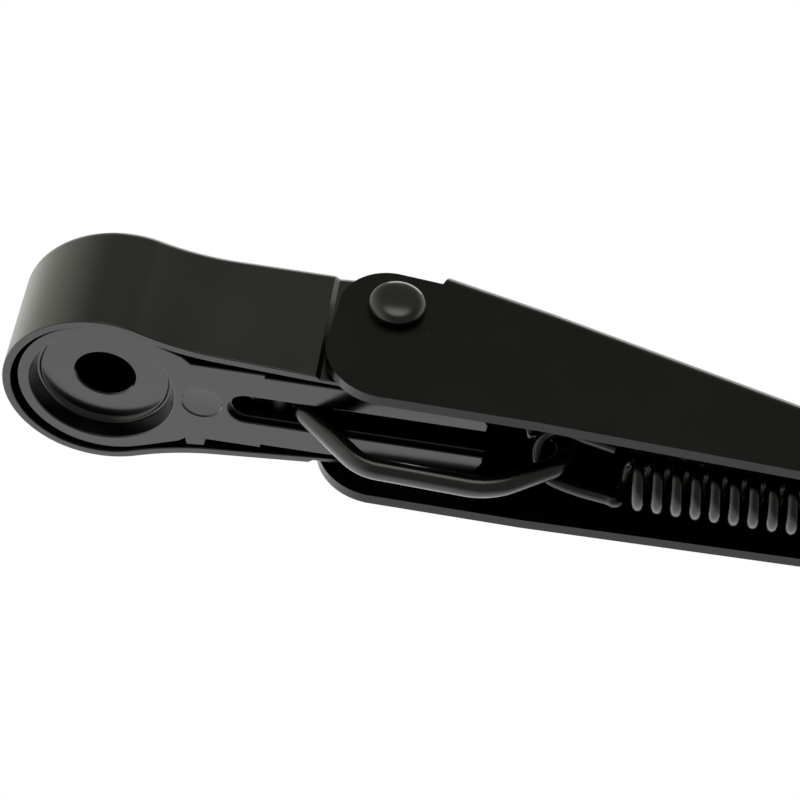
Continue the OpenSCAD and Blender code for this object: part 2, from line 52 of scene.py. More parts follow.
# Head cover: a round end over the spindle, a neck that draws in, and a narrower tongue
HEAD_R = 16.5
COVER_H = 22.0
TOP_RISE = math.radians(4.6)
RIM_RISE = math.radians(0.9)
COVER_WALL = 1.4
COVER_TOP = 1.8
COVER_EDGE_R = 2.0
COVER_RIM_R = 0.2
ACCESS_R = 11.0
NECK_REACH = 13.75
NECK_TAPER = math.radians(4.8)
NECK_BLEND_R = 45.0
STEP_X = 35.3
STEP_RUN = 0.8
TONGUE_HALF_W = 10.15
TONGUE_WALL = 0.95
NOSE_X = 51.1

# Core: its round end, whose centre lies CORE_SHIFT ahead of the spindle, and its shoulder
CORE_R = 14.75
CORE_SHIFT = 0.55
CORE_Z = 0.7
CORE_EDGE_R = 0.3
CORE_HALF_W = 9.1
SHOULDER = (13.2, 10.55)
SHOULDER_RUN = 1.6
# Core: two prongs with the link's slot between them
PRONG_HALF_W = 8.4
PRONG_X = 27.2
PRONG_END = 64.2
PRONG_BEVEL = 1.6
SLOT_X = 21.2
SLOT_HALF_W = 3.2
SLOT_LEDGE = 0.6
LEDGE_DEPTH = 1.0
LEDGE_EDGE = 0.15
# Core: gap left under the channel's web when the arm is down
STOP_GAP = 0.35
# Core: recess for the spindle's collar. Its wall ends in a ring of steps, given as
# (inwards from the wall, height from the floor)
RECESS_R = 12.15
RECESS_FLOOR = 4.0
RECESS_FOOT = ((0.65, -0.75), (0.8, -0.5), (1.15, -0.45), (1.3, -0.15), (1.5, 0.0))
BORE_R = 5.0
BORE_BEVEL = 0.25
WELL_Z = 11.0
WELL_R = 10.5
# Core: round mark on its face, with its wall as (outwards from its radius, into the face)
MARK_X = 16.85
MARK_R = 3.35
MARK_WALL = ((0.14, 0.0), (0.0, 0.12), (-0.1, 0.22), (-0.3, 0.25))
# Core: flash left by the casting die, on the far side between the core and the cover
FLASH = ((14.2, 8.8), (17.8, 8.8), (17.4, 10.75), (16.6, 10.85), (15.4, 10.75), (14.6, 10.9))
FLASH_SINK = 0.05
FLASH_DEPTH = 1.4

# Pivot: its place, its bush and the head of its rivet, whose rounded foot is given as
# (inwards from the head's edge, away from the ear)
PIVOT = (46.5, 16.0)
BUSH_R = 3.9
RIVET_R = 2.95
RIVET_HEAD_R = 4.8
RIVET_RIM = 0.7
RIVET_DOME = 1.9
RIVET_POWER = 2.8
RIVET_FOOT = ((0.25, 0.0), (0.07, 0.1), (0.0, 0.3))

# Channel: a pressing that starts behind the pivot, tapers in plan and falls along its web
SHEET = 2.0
CHANNEL_BACK = 14.0
EAR_HALF_W = 13.4
BEND_R = 3.2
TAPER_X = 72.0
WEB_X = 54.3
WEB_Z = 26.4
WEB_SLOPE = math.tan(math.radians(14.6))
LEVEL_Z = 8.2
KNEE_LEN = 14.0
KNEE_START = WEB_X + (WEB_Z - LEVEL_Z) / WEB_SLOPE - KNEE_LEN / 2
KNEE_END = WEB_X + (WEB_Z - LEVEL_Z) / WEB_SLOPE + KNEE_LEN / 2
# Channel: each ear's upper and lower curve, with its centre measured from the pivot and its
# first and last angle. The ear's corner is (back from the web's end, above the pivot)
EAR_TOP = (-1.1, -0.7)
EAR_TOP_R = 8.5
EAR_TOP_ARC = (88, 184)
EAR_LOW = (0.25, -9.5)
EAR_LOW_R = 10.65
EAR_LOW_ARC = (172, 266)
EAR_CORNER = (0.9, 7.0)
WEB_LIP = 1.0
EDGE_LOW = 5.3
EDGE_RUN = 30.0
CHANNEL_EDGE_R = 0.32
# Channel: the tail, which carries the bar and ends in the tip
TAIL_X = 150.0
TAIL_HALF_W = 10.6
TAIL_LEN = 65.0
TAIL_FALL = 3.8
TIP_HALF_W = 8.0
TIP_H = 6.2
TAIL_TURN = Matrix.Rotation(math.atan(TAIL_FALL / TAIL_LEN), 3, "Y")

# Flat bar and its hook. The bar lies under the tail's web
BAR_W = 9.0
BAR_T = 3.0
BAR_LEN = 330.0
BAR_EDGE_R = 0.3
HOOK_R = 4.0
HOOK_TIP = 11.0
HOOK_BEVEL = 2.0
HOOK_TIP_FLAT = 0.4
# Rivets of the bar, with the distance of each from the tail's start. The upset end is given
# as (inwards from the head's edge, below the bar)
BAR_RIVETS = {"bar_rivet_front": 16.0, "bar_rivet_rear": 48.0}
BAR_RIVET_R = 2.5
BAR_RIVET_HEAD_R = 4.0
BAR_RIVET_DOME = 1.6
BAR_RIVET_RIM = 0.4
BAR_RIVET_EDGE = 0.15
UPSET_END = ((0.8, 0.7), (0.3, 0.35), (0.2, 0.0))

# Nut cover: the foot of its skirt is (inwards from the skirt, height), and the edge of its
# rim is (inwards from the rim, height). These heights are from the cover's top, and the
# plug's seat lies NUT_FIT above the cover's ceiling
NUT_PLUG_R = 10.95
NUT_SKIRT_R = 10.15
NUT_RIM_R = 11.85
NUT_DOME = 1.1
NUT_FIT = 0.05
NUT_FOOT = ((1.2, -1.2), (1.2, -2.8), (1.0, -3.0), (0.2, -3.0), (0.0, -2.7))
NUT_EDGE = ((0.1, 0.0), (0.0, 0.12), (0.0, 0.4), (0.15, 0.6))

# Link: a wire from its hook round the anchor pin, down into the channel and up to the hook
# round the spring's loop. Angles are in degrees
LINK_R = 1.85
ANCHOR = (29.4, 5.5)
ANCHOR_BORE_R = 1.9
ANCHOR_HOOK_R = 3.85
ANCHOR_HOOK_END = 195
ANCHOR_LEG = 2.9
LINK_LOW = (51.5, -8.0)
LINK_LOW_FALL = -2.5
LINK_FALL = -42.0
LINK_RISE = 34.3
LINK_BENDS = (4, 8, 12)
LINK_HOOK_END = 120

# Spring: a tilted front loop, a coil and a far loop round the spring pin
SPRING_R = 1.1
LOOP = (73.0, 1.6)
LOOP_HALF_W = 4.4
LOOP_TILT = math.radians(38)
LOOP_LEN = 14.4
LOOP_HOOK_R = 4.5
COIL_R = 4.0
COIL_PITCH = 3.17
COIL_TURNS = 11.4
COIL_DROP = 1.9
# Spring: where the front loop nears the coil, and the wire's way in from the last turn
LOOP_MERGE = 2.0
LOOP_LEAD = 0.7
COIL_EXIT = ((1.3, -1.1, -0.1), (3.2, -1.2, -0.2), (6.5, -0.4, -0.5))
SPRING_PIN = (133.0, -2.2)
SPRING_PIN_R = 2.0
PEEN = 0.6
PEEN_FOOT = 0.2
FAR_LOOP_FIT = 0.1
FAR_LOOP_START = 80
FAR_LOOP_TURN = 230

# Cutting tools: how far one runs past the face it cuts, half the length of one that passes
# across the whole arm, and heights above the whole arm and under the channel's lower edge
OVER = 1.0
CUT_HALF = 20.0
ABOVE = 60.0
UNDER = -10.0
# Last angle of half an outline, short of 180 so that its mirror image starts at another point
HALF_END = 179.2


# Points in a plane
def polar(r, degrees):
    a = math.radians(degrees)
    return Vector((r * math.cos(a), r * math.sin(a)))


def arc(centre, r, start, end, steps):
    """Points of an arc round centre, angles in degrees."""
    c = Vector(centre)
    return [c + polar(r, start + (end - start) * k / steps) for k in range(steps + 1)]


def cross2(a, b):
    return a.x * b.y - a.y * b.x


def meet(p, a, q, b):
    """Where the line through p at angle a meets the line through q at angle b."""
    u, v = polar(1, a), polar(1, b)
    return Vector(p) + u * (cross2(Vector(q) - Vector(p), v) / cross2(u, v))


def bend(a, b, c, r, steps):
    """Points of a round bend of radius r at corner b."""
    a, b, c = Vector(a), Vector(b), Vector(c)
    u, v = (a - b).normalized(), (c - b).normalized()
    half = math.acos(max(-1.0, min(1.0, u.dot(v)))) / 2
    centre = b + (u + v).normalized() * (r / math.sin(half))
    start = b + u * (r / math.tan(half)) - centre
    turn = math.copysign(math.pi - 2 * half, cross2(b - a, c - b))
    return [centre + Matrix.Rotation(turn * k / steps, 2) @ start for k in range(steps + 1)]


def mirrored(half):
    """A closed counterclockwise outline from its upper half, listed from right to left."""
    return list(half) + [Vector((p.x, -p.y)) for p in reversed(half)]


def rounded_levels(z, r, steps=3):
    """(inset, height) pairs of a rounded edge that rises from a face at z."""
    pairs = []
    for k in range(steps + 1):
        a = math.radians(90 * k / steps)
        pairs.append((r * (1 - math.sin(a)), z + r * (1 - math.cos(a))))
    return pairs


# Pieces and their meshes
def place(x, y, z):
    return Vector((x, y, z + RIM_Z)) * MM


def add_to_scene(name, data):
    thing = bpy.data.objects.new(name, data)
    bpy.context.scene.collection.objects.link(thing)
    return thing


def new_piece(name, points, faces):
    mesh = bpy.data.meshes.new(name)
    mesh.from_pydata([tuple(place(*p)) for p in points], [], faces)
    mesh.validate()
    return add_to_scene(name, mesh)


@contextmanager
def editing(piece):
    """Opens a piece's mesh for bmesh and writes it back."""
    mesh = bmesh.new()
    mesh.from_mesh(piece.data)
    yield mesh
    mesh.to_mesh(piece.data)
    mesh.free()


def loft(name, rings, closed=False):
    """A solid through rings of (x, y, z) points, or a closed band of rings."""
    n = len(rings[0])
    count = len(rings)
    spans = count if closed else count - 1
    faces = []
    for r in range(spans):
        a, b = r * n, (r + 1) % count * n
        faces += [(a + k, a + (k + 1) % n, b + (k + 1) % n, b + k) for k in range(n)]
    if not closed:
        faces.append(tuple(reversed(range(n))))
        faces.append(tuple(range((count - 1) * n, count * n)))
    piece = new_piece(name, [p for ring in rings for p in ring], faces)
    with editing(piece) as mesh:
        bmesh.ops.recalc_face_normals(mesh, faces=mesh.faces)
    return piece


def flat_ring(outline, z):
    return [(p.x, p.y, z) for p in outline]


def level_ring(outline, surface, dz):
    """A ring over an outline, dz above a sloping surface."""
    return [(p.x, p.y, surface(p.x) + dz) for p in outline]


def prism(name, outline, z0, z1):
    """An upright solid over an outline in the XY plane."""
    return loft(name, [flat_ring(outline, z) for z in (z0, z1)])


def side_prism(name, outline, half):
    """A solid across the arm over an outline in the XZ plane."""
    return loft(name, [[(p.x, y, p.y) for p in outline] for y in (-half, half)])


def lathe(name, profile, steps=96, basis=None, origin=(0, 0, 0)):
    """A turned solid: profile is (radius, height) along an axis that basis turns into place."""
    basis = basis or Matrix.Identity(3)
    o = Vector(origin)
    rings = []
    for k in range(steps):
        a = 2 * math.pi * k / steps
        rings.append([
            tuple(o + basis @ Vector((r * math.cos(a), r * math.sin(a), h))) for r, h in profile
        ])
    piece = loft(name, rings, closed=True)
    with editing(piece) as mesh:
        bmesh.ops.remove_doubles(mesh, verts=mesh.verts, dist=1e-7)
        bmesh.ops.recalc_face_normals(mesh, faces=mesh.faces)
    return piece


def rod(r, low, high):
    """(radius, height) pairs of a plain cylinder."""
    return [(0, low), (r, low), (r, high), (0, high)]


def both_ends(half):
    """(radius, height) pairs of a pin that is the same at both ends."""
    return [(r, -h) for r, h in reversed(half)] + half


ACROSS = Matrix(((1, 0, 0), (0, 0, 1), (0, -1, 0)))


def cross_cylinder(name, centre, r):
    """A cutting tool across the whole arm."""
    return lathe(name, rod(r, -CUT_HALF, CUT_HALF), 64, ACROSS, (centre[0], 0, centre[1]))


def settle(piece):
    """Applies a piece's modifiers."""
    graph = bpy.context.evaluated_depsgraph_get()
    mesh = bpy.data.meshes.new_from_object(piece.evaluated_get(graph))
    old = piece.data
    piece.modifiers.clear()
    piece.data = mesh
    mesh.name = piece.name
    bpy.data.meshes.remove(old)


def combine(piece, tool, operation):
    m = piece.modifiers.new(operation, "BOOLEAN")
    m.operation = operation
    m.solver = "EXACT"
    m.object = tool
    settle(piece)
    old = tool.data
    bpy.data.objects.remove(tool)
    bpy.data.meshes.remove(old)


def cut(piece, tool):
    combine(piece, tool, "DIFFERENCE")


def soften(piece, width=0.0, segments=2, sharp=35):
    """Rounds the edges by width and shades the piece smooth between its sharp edges."""
    with editing(piece) as mesh:
        bmesh.ops.remove_doubles(mesh, verts=mesh.verts, dist=2e-6)
        bmesh.ops.dissolve_degenerate(mesh, edges=mesh.edges, dist=2e-6)
    if width:
        m = piece.modifiers.new("Edge", "BEVEL")
        m.width = width * MM
        m.segments = segments
        m.limit_method = "ANGLE"
        m.angle_limit = math.radians(sharp)
        m.use_clamp_overlap = True
        settle(piece)
    piece.data.shade_smooth()
    piece.data.set_sharp_from_angle(angle=math.radians(sharp))
    m = piece.modifiers.new("Normals", "WEIGHTED_NORMAL")
    m.keep_sharp = True
    settle(piece)


# Materials
DUST_GREY = (0.07, 0.07, 0.065)


class Tree:
    """A short way to write a node tree."""

    def __init__(self, tree):
        self.tree = tree

    def put(self, value, socket):
        """Links a node's output to a socket, or sets the socket to a plain value."""
        if hasattr(value, "is_output"):
            self.tree.links.new(value, socket)
        else:
            socket.default_value = value

    def add(self, kind, **inputs):
        node = self.tree.nodes.new(kind)
        for key, value in inputs.items():
            self.put(value, node.inputs[key.replace("_", " ")])
        return node

    def ramp(self, value, low, high, out_low, out_high, kind="LINEAR"):
        """Goes from out_low to out_high while value goes from low to high."""
        node = self.add("ShaderNodeMapRange", Value=value)
        node.interpolation_type = kind
        for key, number in (("From Min", low), ("From Max", high),
                            ("To Min", out_low), ("To Max", out_high)):
            node.inputs[key].default_value = number
        return node.outputs["Result"]

    def mix(self, factor, a, b, kind="RGBA"):
        """Goes from a to b with factor. Colours are RGB, and kind FLOAT is for numbers."""
        node = self.tree.nodes.new("ShaderNodeMix")
        node.data_type = kind
        self.put(factor, node.inputs["Factor"])
        for key, value in (("A", a), ("B", b)):
            self.put((*value, 1) if isinstance(value, tuple) else value, node.inputs[key])
        return node.outputs["Result"]

    def maths(self, operation, a, b):
        node = self.tree.nodes.new("ShaderNodeMath")
        node.operation = operation
        self.put(a, node.inputs[0])
        self.put(b, node.inputs[1])
        return node.outputs[0]


class Material(Tree):
    """A material with one Principled shader and textures in the piece's own space."""

    def __init__(self, name):
        self.material = bpy.data.materials.new(name)
        self.material.use_nodes = True
        super().__init__(self.material.node_tree)
        self.shader = self.tree.nodes["Principled BSDF"].inputs
        self.place = self.add("ShaderNodeTexCoord").outputs["Object"]

    def set(self, **inputs):
        """Links or sets the shader's inputs."""
        for key, value in inputs.items():
            self.put(value, self.shader[key.replace("_", " ")])

    def noise(self, scale, detail=3.0):
        node = self.add("ShaderNodeTexNoise", Vector=self.place, Scale=scale, Detail=detail)
        return node.outputs["Fac"]

    def bump(self, height, strength, distance):
        node = self.add("ShaderNodeBump", Height=height, Strength=strength,
                        Distance=distance * MM)
        self.set(Normal=node.outputs["Normal"])

    def dust(self, scale=330.0, amount=0.035):
        """Sparse specks: the small middles of a few cells."""
        cells = self.add("ShaderNodeTexVoronoi", Vector=self.place, Scale=scale)
        near = self.ramp(cells.outputs["Distance"], amount, amount * 0.5, 0, 1)
        patch = self.ramp(self.noise(60.0, 1.0), 0.55, 0.62, 0, 1)
        return self.maths("MULTIPLY", near, patch)


def scaled(colour, share):
    return tuple(c * share for c in colour)


def enamel(name, colour, rough, gloss=0.5, peel=0.02, dust=True):
    """Black enamel: a faint orange peel, uneven gloss and a few specks of dust."""
    m = Material(name)
    cloud = m.noise(70.0, 3.0)
    if dust:
        tint = m.mix(m.dust(), colour, DUST_GREY)
    else:
        tint = m.mix(cloud, colour, scaled(colour, 1.4))
    m.set(IOR=1.52, Specular_IOR_Level=gloss, Base_Color=tint,
          Roughness=m.ramp(cloud, 0.3, 0.7, rough * 0.88, rough * 1.15))
    m.bump(m.noise(700.0, 2.0), 0.10, peel)
    return m.material


def steel(name, colour, rough):
    """Turned steel with a fine, uneven gloss."""
    m = Material(name)
    fine = m.noise(2600.0, 2.0)
    m.set(Metallic=1.0, Base_Color=m.mix(m.noise(240.0), colour, scaled(colour, 0.7)),
          Roughness=m.ramp(fine, 0.3, 0.7, rough * 0.8, rough * 1.3))
    m.bump(fine, 0.2, 0.01)
    return m.material


def plastic(name):
    """Moulded black plastic with a fine grain."""
    m = Material(name)
    m.set(Base_Color=m.mix(m.noise(300.0), (0.008, 0.008, 0.008), (0.014, 0.014, 0.014)),
          Roughness=m.ramp(m.noise(900.0), 0.3, 0.7, 0.32, 0.45))
    m.bump(m.noise(5200.0, 2.0), 0.35, 0.03)
    return m.material


MATERIALS = {
    "cover_paint": enamel("cover_paint", (0.0040, 0.0041, 0.0034), 0.27),
    "cast_paint": enamel("cast_paint", (0.0022, 0.0022, 0.0021), 0.15),
    "channel_paint": enamel("channel_paint", (0.0024, 0.0025, 0.0019), 0.24, gloss=0.21),
    "rivet_paint": enamel("rivet_paint", (0.0030, 0.0030, 0.0028), 0.20),
    "bar_paint": enamel("bar_paint", (0.0040, 0.0040, 0.0038), 0.34),
    "link_wire": enamel("link_wire", (0.0030, 0.0030, 0.0030), 0.21, peel=0.015, dust=False),
    "spring_wire": enamel("spring_wire", (0.0032, 0.0031, 0.0034), 0.22,
                          gloss=0.38, peel=0.015, dust=False),
    # Steel of the hidden pins, darkened to near black: painted shade for the slot and bores they
    # sit in
    "pin_steel": steel("pin_steel", (0.045, 0.045, 0.05), 0.38),
    "black_plastic": plastic("black_plastic"),
}


def paint(piece, material):
    piece.data.materials.clear()
    piece.data.materials.append(MATERIALS[material])


def dress(piece, body, slot, node, look=None):
    """Gives a piece its material and body, and hides the CAD node that it stands for."""
    paint(piece, look or slot)
    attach(piece, body)
    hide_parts(node)


# Camera at the photograph's angle, fitted to the head's known shape
def make_camera():
    focal_px = 2858.57
    image_px = 800
    turn = Vector((0.837905, 0.086711, 0.128276))
    offset = Vector((-49.57426, -1.46252, 472.92429))
    # Rows of the rotation are the image's right, down and forward
    rows = Matrix.Rotation(turn.length, 3, turn.normalized())
    centre = -(rows.transposed() @ offset)
    data = bpy.data.cameras.new("camera")
    data.sensor_width = 36.0
    data.lens = focal_px * data.sensor_width / image_px
    data.clip_start = 0.01
    data.clip_end = 50.0
    camera = add_to_scene("camera", data)
    turned = Matrix((rows[0], -rows[1], -rows[2])).transposed()
    camera.matrix_world = Matrix.Translation(place(*centre)) @ turned.to_4x4()
    bpy.context.scene.camera = camera


# Head cover
TOP_TURN = Matrix.Rotation(-TOP_RISE, 3, "Y")
TOP_CENTRE = (0, 0, COVER_H)


def blend_centre():
    """Centre of the curve that blends the round end into the neck's side."""
    normal = Vector((math.sin(NECK_TAPER), math.cos(NECK_TAPER)))
    along = Vector((math.cos(NECK_TAPER), -math.sin(NECK_TAPER)))
    reach = NECK_REACH + NECK_BLEND_R
    run = math.sqrt((HEAD_R + NECK_BLEND_R) ** 2 - reach ** 2)
    return normal * reach + along * run


def blend_foot(inset):
    """Where the blend meets the neck's straight side."""
    normal = Vector((math.sin(NECK_TAPER), math.cos(NECK_TAPER)))
    return blend_centre() - normal * (NECK_BLEND_R + inset)


def head_outline(inset, step_from, tongue_w, nose_x):
    """The cover's plan or its hollow's, whose tongue starts with a step."""
    centre = blend_centre()
    contact = math.degrees(math.atan2(centre.y, centre.x))
    side = blend_foot(inset)
    step = Vector((step_from, side.y - (step_from - side.x) * math.tan(NECK_TAPER)))
    return mirrored(
        [Vector((nose_x, tongue_w)), Vector((step_from + STEP_RUN, tongue_w)), step]
        + arc(centre, NECK_BLEND_R + inset, 270 - math.degrees(NECK_TAPER), 180 + contact, 24)
        + arc((0, 0), HEAD_R - inset, contact, HALF_END, 72)[1:]
    )


def cover_outline(inset):
    return head_outline(inset, STEP_X, TONGUE_HALF_W - inset, NOSE_X)


def hollow_outline(inset):
    side = blend_foot(inset)
    inner_w = TONGUE_HALF_W - TONGUE_WALL
    start = side.x + (side.y - inner_w) / math.tan(NECK_TAPER) - STEP_RUN
    return head_outline(inset, start, inner_w, NOSE_X + 2 * OVER)


def top_z(x):
    return COVER_H + x * math.tan(TOP_RISE)


def rim_z(x):
    return x * math.tan(RIM_RISE)


def cover_shell():
    rings = [level_ring(cover_outline(i), rim_z, z) for i, z in rounded_levels(0, COVER_RIM_R)]
    steps = 8
    for k in range(steps + 1):
        a = math.radians(90 * k / steps)
        inset, drop = COVER_EDGE_R * (1 - math.cos(a)), COVER_EDGE_R * (1 - math.sin(a))
        rings.append(level_ring(cover_outline(inset), top_z, -drop))
    return loft("cover_shell", rings)


def cover_hollow():
    rings = [level_ring(hollow_outline(COVER_WALL - COVER_RIM_R), rim_z, -OVER)]
    rings += [level_ring(hollow_outline(COVER_WALL - i), rim_z, z)
              for i, z in rounded_levels(0, COVER_RIM_R)]
    rings.append(level_ring(hollow_outline(COVER_WALL), top_z, -COVER_TOP))
    return loft("hollow", rings)


def make_cover():
    piece = cover_shell()
    cut(piece, cover_hollow())
    access = rod(ACCESS_R, -COVER_TOP - OVER, COVER_EDGE_R + OVER)
    cut(piece, lathe("access", access, 128, TOP_TURN, TOP_CENTRE))
    cut(piece, cross_cylinder("bore", PIVOT, BUSH_R))
    soften(piece, sharp=32)
    dress(piece, "head", "gloss_paint", "head_cover", "cover_paint")


# Die-cast core
def core_outline(inset):
    corner = Vector((SHOULDER[0], SHOULDER[1] - inset))
    away = corner - Vector((CORE_SHIFT, 0))
    r = CORE_R - inset
    flank = math.degrees(math.atan2(away.y, away.x) + math.acos(r / away.length))
    end = PRONG_END - inset
    w = PRONG_HALF_W - inset
    half = [
        Vector((end, w - 2 * PRONG_BEVEL)),
        Vector((end - PRONG_BEVEL, w)),
        Vector((PRONG_X - inset, w)),
        Vector((PRONG_X - inset, CORE_HALF_W - inset)),
        Vector((SHOULDER[0] + SHOULDER_RUN, CORE_HALF_W - inset)),
        corner,
    ]
    return mirrored(half + arc((CORE_SHIFT, 0), r, flank, HALF_END, 72))


def core_casting():
    rings = [flat_ring(core_outline(i), z) for i, z in rounded_levels(CORE_Z, CORE_EDGE_R)]
    rings.append(flat_ring(core_outline(0), 2 * COVER_H))
    return loft("core_casting", rings)


def slot_outline(half_w):
    centre = SLOT_X + SLOT_HALF_W
    open_end = PRONG_END + 5 * OVER
    return ([Vector((open_end, half_w))] + arc((centre, 0), half_w, 90, 270, 32)
            + [Vector((open_end, -half_w))])


def slot_mouth():
    """The slot's wider mouth, down to its ledge."""
    rings = [flat_ring(slot_outline(SLOT_HALF_W + CORE_EDGE_R), CORE_Z - OVER)]
    rings += [flat_ring(slot_outline(SLOT_HALF_W + i), z)
              for i, z in rounded_levels(CORE_Z, CORE_EDGE_R)]
    rings.append(flat_ring(slot_outline(SLOT_HALF_W), CORE_Z + LEDGE_DEPTH))
    return loft("slot_mouth", rings)


def slot_through():
    """The slot inside its ledge, right through the core."""
    half_w = SLOT_HALF_W - SLOT_LEDGE
    ledge_z = CORE_Z + LEDGE_DEPTH
    return loft("slot", [
        flat_ring(slot_outline(half_w + LEDGE_EDGE), -OVER),
        flat_ring(slot_outline(half_w + LEDGE_EDGE), ledge_z),
        flat_ring(slot_outline(half_w), ledge_z + LEDGE_EDGE),
        flat_ring(slot_outline(half_w), 3 * COVER_H),
    ])


def recess():
    low = CORE_Z - 2 * OVER
    profile = [(0, low), (RECESS_R + CORE_EDGE_R, low)]
    profile += [(RECESS_R + i, z) for i, z in rounded_levels(CORE_Z, CORE_EDGE_R)]
    profile += [(RECESS_R - i, RECESS_FLOOR + z) for i, z in RECESS_FOOT]
    return lathe("recess", profile + [(0, RECESS_FLOOR)], 160)


def spindle_bore():
    """The bevelled bore and the well for the spindle's nut above it."""
    wide, low = BORE_R + BORE_BEVEL, RECESS_FLOOR - OVER
    profile = [(0, low), (wide, low), (wide, RECESS_FLOOR), (BORE_R, RECESS_FLOOR + BORE_BEVEL),
               (BORE_R, WELL_Z), (WELL_R, WELL_Z), (WELL_R, ABOVE), (0, ABOVE)]
    return lathe("bore", profile, 96)


def face_mark():
    low = CORE_Z - OVER
    profile = [(0, low), (MARK_R + MARK_WALL[0][0], low)]
    profile += [(MARK_R + i, CORE_Z + z) for i, z in MARK_WALL]
    profile.append((0, CORE_Z + MARK_WALL[-1][1]))
    return lathe("mark", profile, 72, origin=(MARK_X, 0, 0))


def core_top():
    """Trims the core's top to the cover's ceiling and, past that, to the arm's web."""
    ceiling = COVER_H - COVER_TOP
    rise = math.tan(TOP_RISE)
    stop_x = (WEB_Z - SHEET - STOP_GAP + WEB_X * WEB_SLOPE - ceiling) / (WEB_SLOPE + rise)
    stop_z = ceiling + stop_x * rise
    back, far, high = -HEAD_R, PRONG_END + 2 * OVER, 1.5 * ABOVE
    outline = [Vector((back, ceiling + back * rise)), Vector((stop_x, stop_z)),
               Vector((far, stop_z - (far - stop_x) * WEB_SLOPE)), Vector((far, high)),
               Vector((back, high))]
    return side_prism("top", outline, CUT_HALF)


def make_core():
    piece = core_casting()
    for tool in (slot_mouth, slot_through, recess, spindle_bore, face_mark, core_top):
        cut(piece, tool())
    cut(piece, cross_cylinder("bore", PIVOT, BUSH_R))
    cut(piece, cross_cylinder("pin_bore", ANCHOR, ANCHOR_BORE_R))
    flash = prism("flash", [Vector(p) for p in FLASH], CORE_Z + FLASH_SINK, CORE_Z + FLASH_DEPTH)
    combine(piece, flash, "UNION")
    soften(piece, sharp=32)
    dress(piece, "head", "cast_paint", "head_core")


# Channel
def web_top(x):
    """Height of the web: a slope, a round knee, a level stretch and the falling tail."""
    if x < KNEE_START:
        return WEB_Z - (x - WEB_X) * WEB_SLOPE
    if x < KNEE_END:
        return LEVEL_Z + (KNEE_END - x) ** 2 * WEB_SLOPE / (2 * KNEE_LEN)
    if x < TAIL_X:
        return LEVEL_Z
    return LEVEL_Z - TAIL_FALL * (x - TAIL_X) / TAIL_LEN


def half_width(x):
    if x < TAPER_X:
        return EAR_HALF_W
    if x < TAIL_X:
        return EAR_HALF_W + (TAIL_HALF_W - EAR_HALF_W) * (x - TAPER_X) / (TAIL_X - TAPER_X)
    return TAIL_HALF_W + (TIP_HALF_W - TAIL_HALF_W) * (x - TAIL_X) / TAIL_LEN


def channel_section(x, inset, bottom):
    w, r, top = half_width(x) - inset, BEND_R - inset, web_top(x) - inset
    half = [Vector((w, bottom))] + arc((w - r, top - r), r, 0, 90, 10)
    return [(x, p.x, p.y) for p in half] + [(x, -p.x, p.y) for p in reversed(half)]


def ear_outline():
    """Side view of the pressing: round ears, straight edges, square tip."""
    pivot = Vector(PIVOT)
    points = [Vector((WEB_X, WEB_Z + OVER)), Vector((WEB_X, WEB_Z - WEB_LIP)),
              Vector((WEB_X - EAR_CORNER[0], pivot.y + EAR_CORNER[1]))]
    points += arc(pivot + Vector(EAR_TOP), EAR_TOP_R, *EAR_TOP_ARC, 36)
    points += arc(pivot + Vector(EAR_LOW), EAR_LOW_R, *EAR_LOW_ARC, 40)
    points += [Vector((TAIL_X - EDGE_RUN, -EDGE_LOW)), Vector((TAIL_X, -EDGE_LOW))]
    tip = TAIL_X + TAIL_LEN
    return points + [Vector((tip, web_top(tip) - TIP_H)), Vector((tip, WEB_Z + OVER))]


def make_channel():
    start, tip = PIVOT[0] - CHANNEL_BACK, TAIL_X + TAIL_LEN
    inner = [TAPER_X, KNEE_START] + [KNEE_START + KNEE_LEN * k / 10 for k in range(1, 11)]
    inner.append(TAIL_X)
    outside = [channel_section(x, 0, -EDGE_LOW - OVER) for x in [start] + inner + [tip]]
    inside = [channel_section(x, SHEET, -EDGE_LOW - 2 * OVER)
              for x in [start - OVER] + inner + [tip + OVER]]
    piece = loft("channel_pressing", outside)
    combine(piece, side_prism("ears", ear_outline(), EAR_HALF_W + OVER), "INTERSECT")
    cut(piece, loft("hollow", inside))
    back = start - 2 * OVER
    gap = [Vector((back, UNDER)), Vector((WEB_X, UNDER)), Vector((WEB_X, ABOVE)),
           Vector((back, ABOVE))]
    cut(piece, side_prism("gap", gap, EAR_HALF_W - SHEET))
    cut(piece, cross_cylinder("bore", PIVOT, RIVET_R))
    cut(piece, cross_cylinder("bore", SPRING_PIN, SPRING_PIN_R))
    cut_rivet_holes(piece, -2 * OVER, SHEET + 2 * OVER)
    soften(piece, CHANNEL_EDGE_R, 3, 30)
    dress(piece, "arm", "gloss_paint", "channel", "channel_paint")


def tail_point(x, z, y=0.0):
    """A point of the tail's own frame: x along the web's underside, z out of it."""
    return Vector((TAIL_X, 0, LEVEL_Z - SHEET)) + TAIL_TURN @ Vector((x, y, z))


def cut_rivet_holes(piece, low, high):
    for x in BAR_RIVETS.values():
        hole = rod(BAR_RIVET_R, low, high)
        cut(piece, lathe("bore", hole, 48, TAIL_TURN, tail_point(x, 0)))


# Rivets, pins and the nut cover
def dome(r, height, steps):
    """(radius, height) pairs of a dome over a disc of radius r, with the rim left out."""
    ball = (r * r + height * height) / (2 * height)
    start = math.acos(r / ball)
    pairs = []
    for k in range(1, steps + 1):
        a = start + (math.pi / 2 - start) * k / steps
        pairs.append((ball * math.cos(a), ball * math.sin(a) - ball + height))
    return pairs


def cushion(r, height, power, steps):
    """(radius, height) pairs of a flatter dome whose sides roll over, with the rim left out."""
    pairs = []
    for k in range(2, steps):
        a = math.radians(90 * k / steps)
        pairs.append((r * math.cos(a) ** (2 / power), height * math.sin(a) ** (2 / power)))
    return pairs + [(0, height)]


